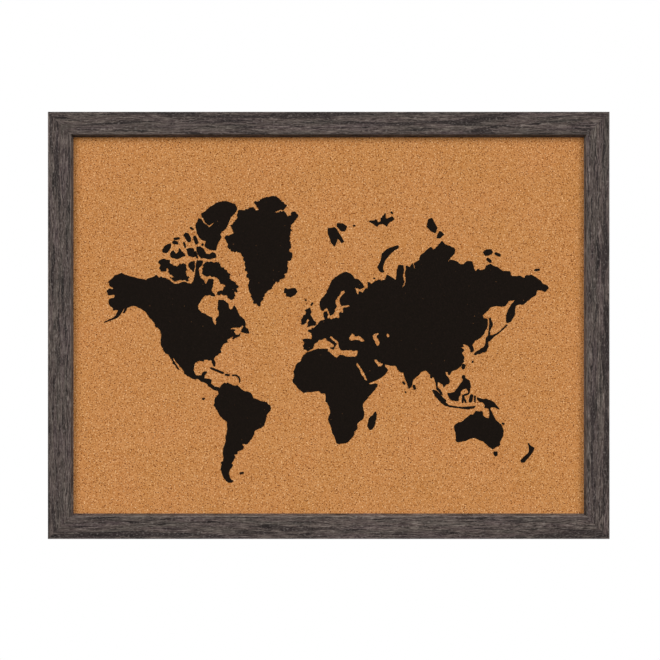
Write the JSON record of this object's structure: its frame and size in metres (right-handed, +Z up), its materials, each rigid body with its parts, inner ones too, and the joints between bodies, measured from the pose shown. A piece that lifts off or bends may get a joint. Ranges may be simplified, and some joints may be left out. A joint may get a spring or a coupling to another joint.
{
  "type": "memo board",
  "caption": "Wall-hung landscape cork memo board with a printed world map, in a flat mitred wood-grain frame with swinging D-ring hangers and rubber bumpers on the back.",
  "frame": {"origin": "on the wall plane, midway between the two hooks that the raised D-rings hang on, at the height of the rings' inner crowns", "axes": "+X to the right as seen from the front, -Y out of the cork face towards the room, +Y into the wall, +Z up"},
  "size_m": [0.585, 0.0225, 0.445],
  "materials": {
    "frame_foil": "dark grey-brown wood-grain foil on MDF, satin",
    "cork": "fine-grain agglomerated cork, matt",
    "softboard": "raw softboard",
    "hardboard": "brown hardboard, smooth side out",
    "ink": "black silkscreen ink, matt",
    "nail_steel": "bright steel strip",
    "point_steel": "dull steel",
    "hanger_zinc": "zinc-plated steel",
    "bumper_rubber": "black rubber, matt"
  },
  "bodies": {
    "board": {"frame_rail_top": "frame_foil", "frame_rail_bottom": "frame_foil", "frame_rail_left": "frame_foil", "frame_rail_right": "frame_foil", "cork_sheet": "cork", "core_board": "softboard", "back_panel": "hardboard", "v_nail_bottom_left_outer": "nail_steel", "v_nail_bottom_left_inner": "nail_steel", "v_nail_bottom_right_outer": "nail_steel", "v_nail_bottom_right_inner": "nail_steel", "v_nail_top_right_outer": "nail_steel", "v_nail_top_right_inner": "nail_steel", "v_nail_top_left_outer": "nail_steel", "v_nail_top_left_inner": "nail_steel", "point_bottom_1": "point_steel", "point_bottom_2": "point_steel", "point_bottom_3": "point_steel", "point_top_1": "point_steel", "point_top_2": "point_steel", "point_top_3": "point_steel", "point_left_1": "point_steel", "point_left_2": "point_steel", "point_right_1": "point_steel", "point_right_2": "point_steel", "hanger_strap_left": "hanger_zinc", "hanger_strap_right": "hanger_zinc", "hanger_screw_left": "hanger_zinc", "hanger_screw_right": "hanger_zinc", "bumper_left": "bumper_rubber", "bumper_right": "bumper_rubber", "print_americas": "ink", "print_greenland": "ink", "print_ellesmere": "ink", "print_baffin": "ink", "print_victoria": "ink", "print_prince_of_wales": "ink", "print_prince_patrick": "ink", "print_melville": "ink", "print_bathurst": "ink", "print_devon": "ink", "print_iceland": "ink", "print_britain": "ink", "print_spitsbergen": "ink", "print_nordaustlandet": "ink", "print_franz_josef": "ink", "print_novaya_zemlya": "ink", "print_severnaya_zemlya": "ink", "print_bolshevik": "ink", "print_new_siberian": "ink", "print_japan": "ink", "print_borneo_philippines": "ink", "print_sumatra_java": "ink", "print_australia": "ink", "print_tasmania": "ink", "print_new_zealand": "ink", "print_madagascar": "ink", "print_afro_eurasia": "ink"},
    "ring_left": {"hanger_ring_left": "hanger_zinc"},
    "ring_right": {"hanger_ring_right": "hanger_zinc"}
  },
  "joints": [
    {"name": "ring_left_hinge", "type": "hinge", "parent": "board", "child": "ring_left", "pos_m": [-0.2845, -0.0027, -0.0125], "axis": [1, 0, 0], "range_deg": [0, 175]},
    {"name": "ring_right_hinge", "type": "hinge", "parent": "board", "child": "ring_right", "pos_m": [0.2845, -0.0027, -0.0125], "axis": [1, 0, 0], "range_deg": [0, 175]}
  ]
}
